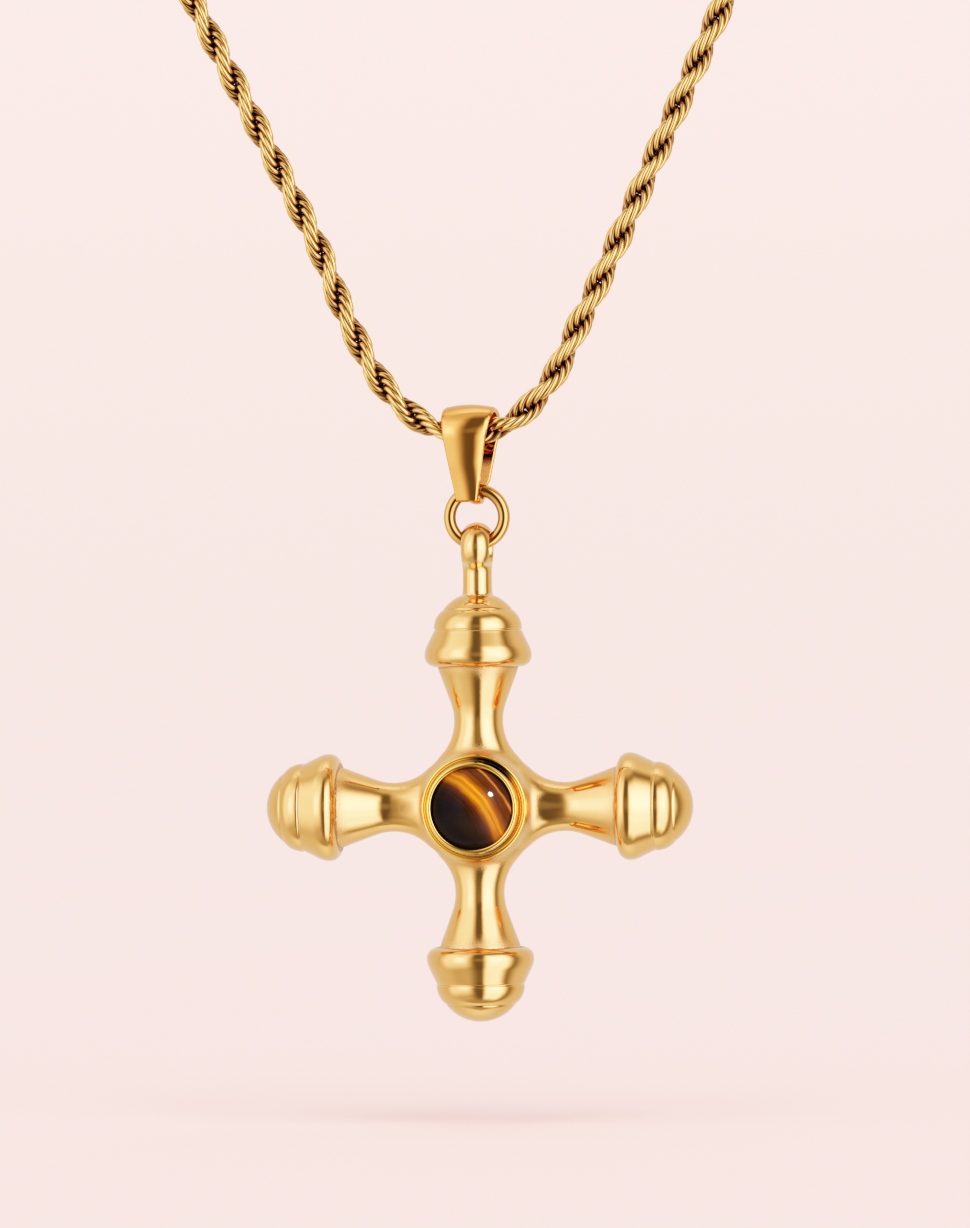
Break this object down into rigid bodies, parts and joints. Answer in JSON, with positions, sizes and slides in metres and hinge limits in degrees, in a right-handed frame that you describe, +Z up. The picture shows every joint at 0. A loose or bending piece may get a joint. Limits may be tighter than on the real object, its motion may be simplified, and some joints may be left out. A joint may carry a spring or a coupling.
{
  "type": "cross pendant necklace",
  "caption": "Cross necklace: turned cross with a domed stone, hung by a jump ring and a folded bail from a closed rope chain.",
  "frame": {"origin": "where the clasp rests on the nape of the neck: the middle of the clasp's side that faces the neck", "axes": "front of the cross toward -Y, the wearer's left toward +X as the viewer sees it on the right, +Z up; the neck goes up through the loop along Z"},
  "size_m": [0.1198, 0.1065, 0.22],
  "materials": {
    "cross": "polished light yellow gold plate",
    "stone": "polished banded golden-brown tiger's eye",
    "jump_ring": "polished gold plate",
    "bail": "polished warm gold plate",
    "chain": "polished gold-plated rope links",
    "clasp": "polished gold plate"
  },
  "bodies": {
    "necklace": {"chain_left": "chain", "chain_right": "chain", "clasp": "clasp"},
    "bail": {"bail": "bail"},
    "ring": {"jump_ring": "jump_ring"},
    "pendant": {"cross": "cross", "stone": "stone"}
  },
  "joints": [
    {"name": "bail_swing", "type": "hinge", "parent": "necklace", "child": "bail", "pos_m": [-0.0005, -0.095, -0.162], "axis": [0.9903, -0.1392, 0], "range_deg": [-60, 60]},
    {"name": "ring_turn", "type": "hinge", "parent": "bail", "child": "ring", "pos_m": [0, -0.095, -0.1701], "axis": [0, 1, 0], "range_deg": [-40, 40]},
    {"name": "cross_swing", "type": "hinge", "parent": "ring", "child": "pendant", "pos_m": [0, -0.095, -0.1727], "axis": [1, 0, 0], "range_deg": [-60, 60]}
  ]
}
